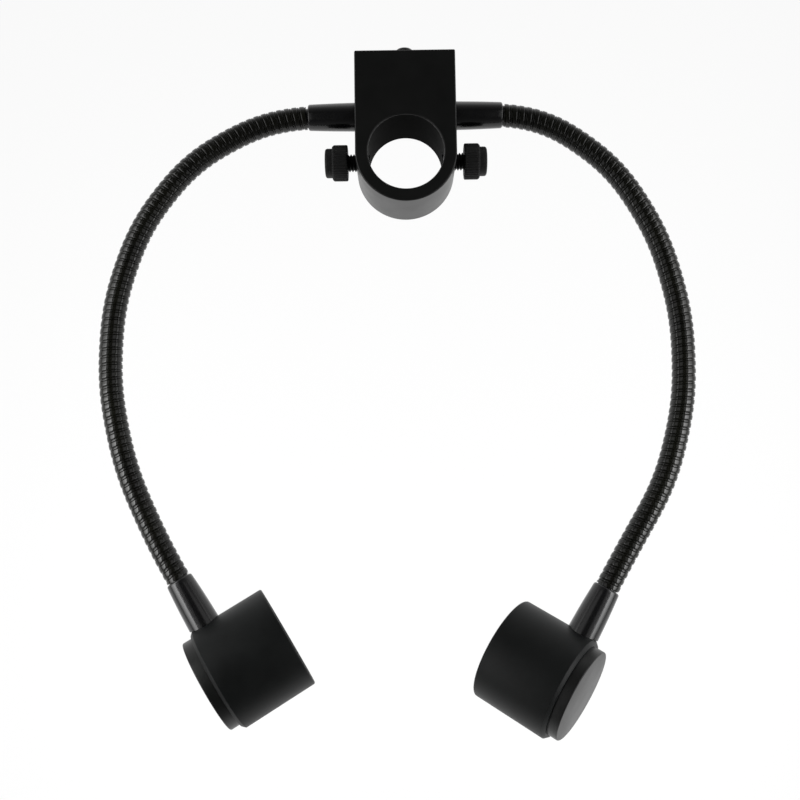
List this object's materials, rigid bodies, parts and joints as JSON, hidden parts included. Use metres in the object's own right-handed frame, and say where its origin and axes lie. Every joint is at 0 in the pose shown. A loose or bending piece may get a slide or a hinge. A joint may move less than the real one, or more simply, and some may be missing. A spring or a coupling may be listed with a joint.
{
  "type": "gooseneck spot light",
  "caption": "Clamp block for a round stand post, held by thumb screws, with bendable goosenecks that each carry a cylindrical LED lamp head, for lighting a microscope's stage.",
  "frame": {"origin": "on the post bore's axis, at mid height of the clamp block", "axes": "+Z up along the post bore, +Y from the bore to the block's flat end with the power inlet, +X to the right seen from above with +Y up"},
  "size_m": [0.198, 0.2302, 0.0423],
  "materials": {
    "block_anodised": "satin black anodised",
    "ferrule_black": "gloss black anodised",
    "hose_black": "gloss black wound steel hose",
    "head_anodised": "satin black anodised",
    "knob_plastic": "matte black moulded",
    "screw_steel": "black oxide",
    "tip_nylon": "black nylon",
    "inlet_black": "black plated brass",
    "insulator_nylon": "black nylon",
    "pin_brass": "bright",
    "cable_pvc": "black PVC",
    "nut_steel": "zinc plated",
    "sink_aluminium": "turned",
    "board_white": "white solder mask",
    "emitter_resin": "phosphor under clear resin",
    "reflector_chrome": "mirror coated",
    "lens_glass": "clear polished"
  },
  "bodies": {
    "clamp": {"clamp_block": "block_anodised", "inlet_shell": "inlet_black", "inlet_insulator": "insulator_nylon", "inlet_pin": "pin_brass", "inlet_lead": "cable_pvc", "cable_splice": "cable_pvc", "left_block_ferrule": "ferrule_black", "left_gooseneck_1": "hose_black", "left_lamp_cable": "cable_pvc", "right_block_ferrule": "ferrule_black", "right_gooseneck_1": "hose_black", "right_lamp_cable": "cable_pvc"},
    "left_tip": {"left_screw_tip": "tip_nylon"},
    "left_screw": {"left_thumb_screw": "screw_steel", "left_screw_knob": "knob_plastic"},
    "left_arm_2": {"left_gooseneck_2": "hose_black"},
    "left_arm_3": {"left_gooseneck_3": "hose_black"},
    "left_arm_4": {"left_gooseneck_4": "hose_black"},
    "left_arm_5": {"left_gooseneck_5": "hose_black"},
    "left_arm_6": {"left_gooseneck_6": "hose_black"},
    "left_head": {"left_gooseneck_7": "hose_black", "left_stem_ferrule": "ferrule_black", "left_stem_nut": "nut_steel", "left_lamp_housing": "head_anodised", "left_back_cover": "head_anodised", "left_heat_sink": "sink_aluminium", "left_led_board": "board_white", "left_led_emitter": "emitter_resin", "left_board_screws": "nut_steel", "left_reflector": "reflector_chrome", "left_front_lens": "lens_glass", "left_lens_ring": "head_anodised"},
    "right_tip": {"right_screw_tip": "tip_nylon"},
    "right_screw": {"right_thumb_screw": "screw_steel", "right_screw_knob": "knob_plastic"},
    "right_arm_2": {"right_gooseneck_2": "hose_black"},
    "right_arm_3": {"right_gooseneck_3": "hose_black"},
    "right_arm_4": {"right_gooseneck_4": "hose_black"},
    "right_arm_5": {"right_gooseneck_5": "hose_black"},
    "right_arm_6": {"right_gooseneck_6": "hose_black"},
    "right_head": {"right_gooseneck_7": "hose_black", "right_stem_ferrule": "ferrule_black", "right_stem_nut": "nut_steel", "right_lamp_housing": "head_anodised", "right_back_cover": "head_anodised", "right_heat_sink": "sink_aluminium", "right_led_board": "board_white", "right_led_emitter": "emitter_resin", "right_board_screws": "nut_steel", "right_reflector": "reflector_chrome", "right_front_lens": "lens_glass", "right_lens_ring": "head_anodised"}
  },
  "joints": [
    {"name": "left_screw_travel", "type": "slide", "parent": "clamp", "child": "left_tip", "axis": [1, 0, 0], "range_m": [-0.002, 0.0025]},
    {"name": "left_screw_turn", "type": "hinge", "parent": "left_tip", "child": "left_screw", "pos_m": [-0.018, 0, 0], "axis": [1, 0, 0], "range_deg": [-721, 901]},
    {"name": "left_lift_1", "type": "hinge", "parent": "clamp", "child": "left_arm_2", "pos_m": [-0.0594, 0.00868, 0], "axis": [-0.4848, 0.8746, 0], "range_deg": [-25, 25], "deforming": ["left_lamp_cable"]},
    {"name": "left_swing_1", "type": "hinge", "parent": "left_arm_2", "child": "left_arm_3", "pos_m": [-0.08053, -0.00886, 0], "axis": [0, 0, 1], "range_deg": [-25, 10], "deforming": ["left_lamp_cable"]},
    {"name": "left_lift_2", "type": "hinge", "parent": "left_arm_3", "child": "left_arm_4", "pos_m": [-0.09373, -0.03303, 0], "axis": [-0.9511, 0.309, 0], "range_deg": [-25, 25], "deforming": ["left_lamp_cable"]},
    {"name": "left_swing_2", "type": "hinge", "parent": "left_arm_4", "child": "left_arm_5", "pos_m": [-0.09887, -0.06014, 0], "axis": [0, 0, 1], "range_deg": [-25, 15], "deforming": ["left_lamp_cable"]},
    {"name": "left_lift_3", "type": "hinge", "parent": "left_arm_5", "child": "left_arm_6", "pos_m": [-0.09677, -0.08769, 0], "axis": [-0.9781, -0.2079, 0], "range_deg": [-30, 30], "deforming": ["left_lamp_cable"]},
    {"name": "left_swing_3", "type": "hinge", "parent": "left_arm_6", "child": "left_head", "pos_m": [-0.08837, -0.11403, 0], "axis": [0, 0, 1], "range_deg": [-30, 25], "deforming": ["left_lamp_cable"]},
    {"name": "right_screw_travel", "type": "slide", "parent": "clamp", "child": "right_tip", "axis": [-1, 0, 0], "range_m": [-0.002, 0.0025]},
    {"name": "right_screw_turn", "type": "hinge", "parent": "right_tip", "child": "right_screw", "pos_m": [0.018, 0, 0], "axis": [-1, 0, 0], "range_deg": [-721, 901]},
    {"name": "right_lift_1", "type": "hinge", "parent": "clamp", "child": "right_arm_2", "pos_m": [0.05855, 0.00658, 0], "axis": [-0.6018, -0.7986, 0], "range_deg": [-25, 25], "deforming": ["right_lamp_cable"]},
    {"name": "right_swing_1", "type": "hinge", "parent": "right_arm_2", "child": "right_arm_3", "pos_m": [0.07712, -0.01366, 0], "axis": [0, 0, 1], "range_deg": [-10, 25], "deforming": ["right_lamp_cable"]},
    {"name": "right_lift_2", "type": "hinge", "parent": "right_arm_3", "child": "right_arm_4", "pos_m": [0.08768, -0.03915, 0], "axis": [-0.9724, -0.2334, 0], "range_deg": [-25, 25], "deforming": ["right_lamp_cable"]},
    {"name": "right_swing_2", "type": "hinge", "parent": "right_arm_4", "child": "right_arm_5", "pos_m": [0.09112, -0.06656, 0], "axis": [0, 0, 1], "range_deg": [-15, 25], "deforming": ["right_lamp_cable"]},
    {"name": "right_lift_3", "type": "hinge", "parent": "right_arm_5", "child": "right_arm_6", "pos_m": [0.08771, -0.09397, 0], "axis": [-0.9659, 0.2588, 0], "range_deg": [-30, 30], "deforming": ["right_lamp_cable"]},
    {"name": "right_swing_3", "type": "hinge", "parent": "right_arm_6", "child": "right_head", "pos_m": [0.07715, -0.11946, 0], "axis": [0, 0, 1], "range_deg": [-25, 30], "deforming": ["right_lamp_cable"]}
  ],
  "couplings": [
    {"joint": "left_screw_turn", "follows": "left_screw_travel", "rad_per_m": 6283.2},
    {"joint": "right_screw_turn", "follows": "right_screw_travel", "rad_per_m": 6283.2}
  ]
}
